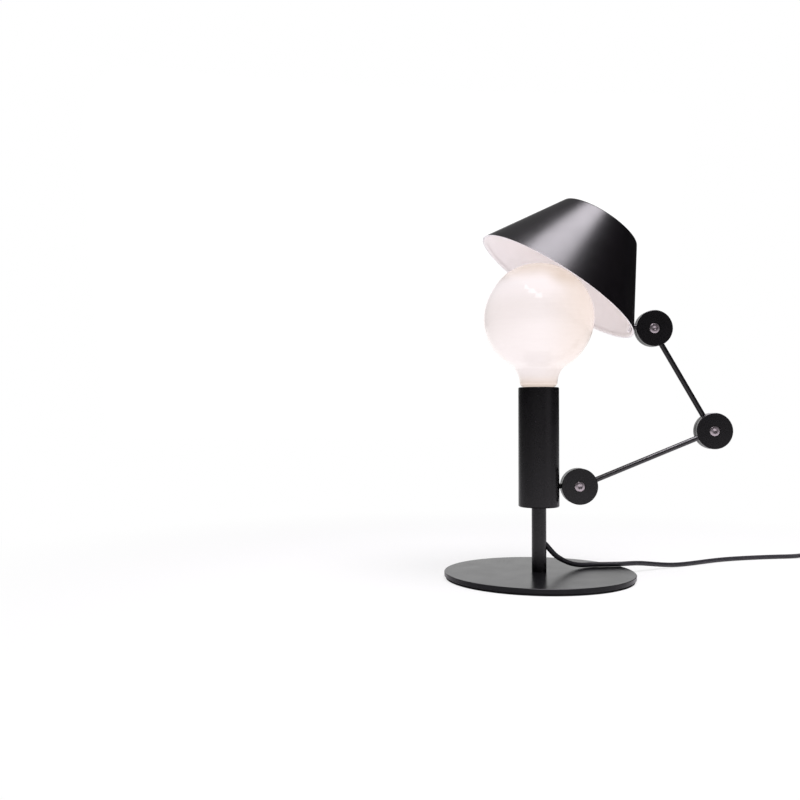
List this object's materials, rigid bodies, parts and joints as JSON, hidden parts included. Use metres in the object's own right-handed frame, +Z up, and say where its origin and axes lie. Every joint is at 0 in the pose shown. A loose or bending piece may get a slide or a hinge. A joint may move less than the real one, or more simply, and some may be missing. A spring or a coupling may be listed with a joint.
{
  "type": "desk lamp",
  "caption": "Desk lamp with a round foot, a bare globe bulb on an upright tube, and a cone shade held over it by a jointed friction arm.",
  "frame": {"origin": "centre of the foot's underside, on the surface that the lamp stands on", "axes": "+Z up, +X towards the side that the arm reaches out to, hinge axes along Y with their screw heads on the -Y side"},
  "size_m": [0.5966, 0.261, 0.4287],
  "materials": {
    "pad": "matte",
    "foot_lacquer": "satin",
    "black_lacquer": "satin",
    "shade_lacquer": "satin",
    "steel": "satin",
    "screw_steel": "polished",
    "inner_lacquer": "satin",
    "brass": "satin",
    "holder_plastic": "matte",
    "lead_insulation": "matte",
    "opal_glass": "gloss",
    "cap_metal": "satin",
    "cap_insulator": "gloss",
    "washer_fibre": "matte",
    "cord_jacket": "satin",
    "black_plastic": "satin",
    "rocker_plastic": "satin",
    "pin_metal": "polished"
  },
  "bodies": {
    "stand": {"base_pad": "pad", "base_plate": "foot_lacquer", "foot_screw": "steel", "stem_plug": "steel", "stem": "black_lacquer", "stem_insert": "steel", "nipple": "brass", "tube_housing": "black_lacquer", "nipple_washer": "steel", "nipple_nut": "brass", "holder_cap": "holder_plastic", "holder_body": "holder_plastic", "holder_shell": "brass", "holder_contact": "brass", "holder_terminals": "brass", "terminal_screws": "steel", "leads": "lead_insulation", "bulb_globe": "opal_glass", "bulb_cap": "cap_metal", "bulb_insulator": "cap_insulator", "bulb_tip": "cap_metal", "a_back_disc": "black_lacquer", "a_stub": "black_lacquer", "a_stub_nut": "steel", "a_washer": "washer_fibre", "a_screw": "screw_steel", "inner_cord": "cord_jacket", "cord_boot": "cord_jacket", "cord_run": "cord_jacket", "switch_base": "black_plastic", "switch_cover": "black_plastic", "switch_pin": "steel", "switch_screws": "steel", "cord_tail": "cord_jacket", "cord_coil": "cord_jacket", "coil_tie": "cord_jacket", "cord_end": "cord_jacket", "plug_body": "black_plastic", "plug_boot": "black_plastic", "plug_pins": "pin_metal", "plug_sleeves": "black_plastic"},
    "lower_arm": {"a_front_disc": "black_lacquer", "lower_rod": "black_lacquer", "b_front_disc": "black_lacquer"},
    "upper_arm": {"b_washer": "washer_fibre", "b_screw": "screw_steel", "b_back_disc": "black_lacquer", "upper_rod": "black_lacquer", "c_back_disc": "black_lacquer", "c_washer": "washer_fibre", "c_screw": "screw_steel"},
    "shade_head": {"c_front_disc": "black_lacquer", "shade_stub": "black_lacquer", "shade_nut": "inner_lacquer", "shade_shell": "shade_lacquer"},
    "switch_key": {"switch_rocker": "rocker_plastic"}
  },
  "joints": [
    {"name": "tube_hinge", "type": "hinge", "parent": "stand", "child": "lower_arm", "pos_m": [0.0453, 0, 0.1035], "axis": [0, -1, 0], "range_deg": [-25, 6]},
    {"name": "elbow_hinge", "type": "hinge", "parent": "lower_arm", "child": "upper_arm", "pos_m": [0.19768, 0, 0.166], "axis": [0, -1, 0], "range_deg": [-60, 5]},
    {"name": "shade_hinge", "type": "hinge", "parent": "upper_arm", "child": "shade_head", "pos_m": [0.13053, 0, 0.2823], "axis": [0, -1, 0], "range_deg": [-60, 8]},
    {"name": "switch_rocker", "type": "hinge", "parent": "stand", "child": "switch_key", "pos_m": [0.421, 0.142, 0.0075], "axis": [0, 1, 0], "range_deg": [0, 14]}
  ]
}
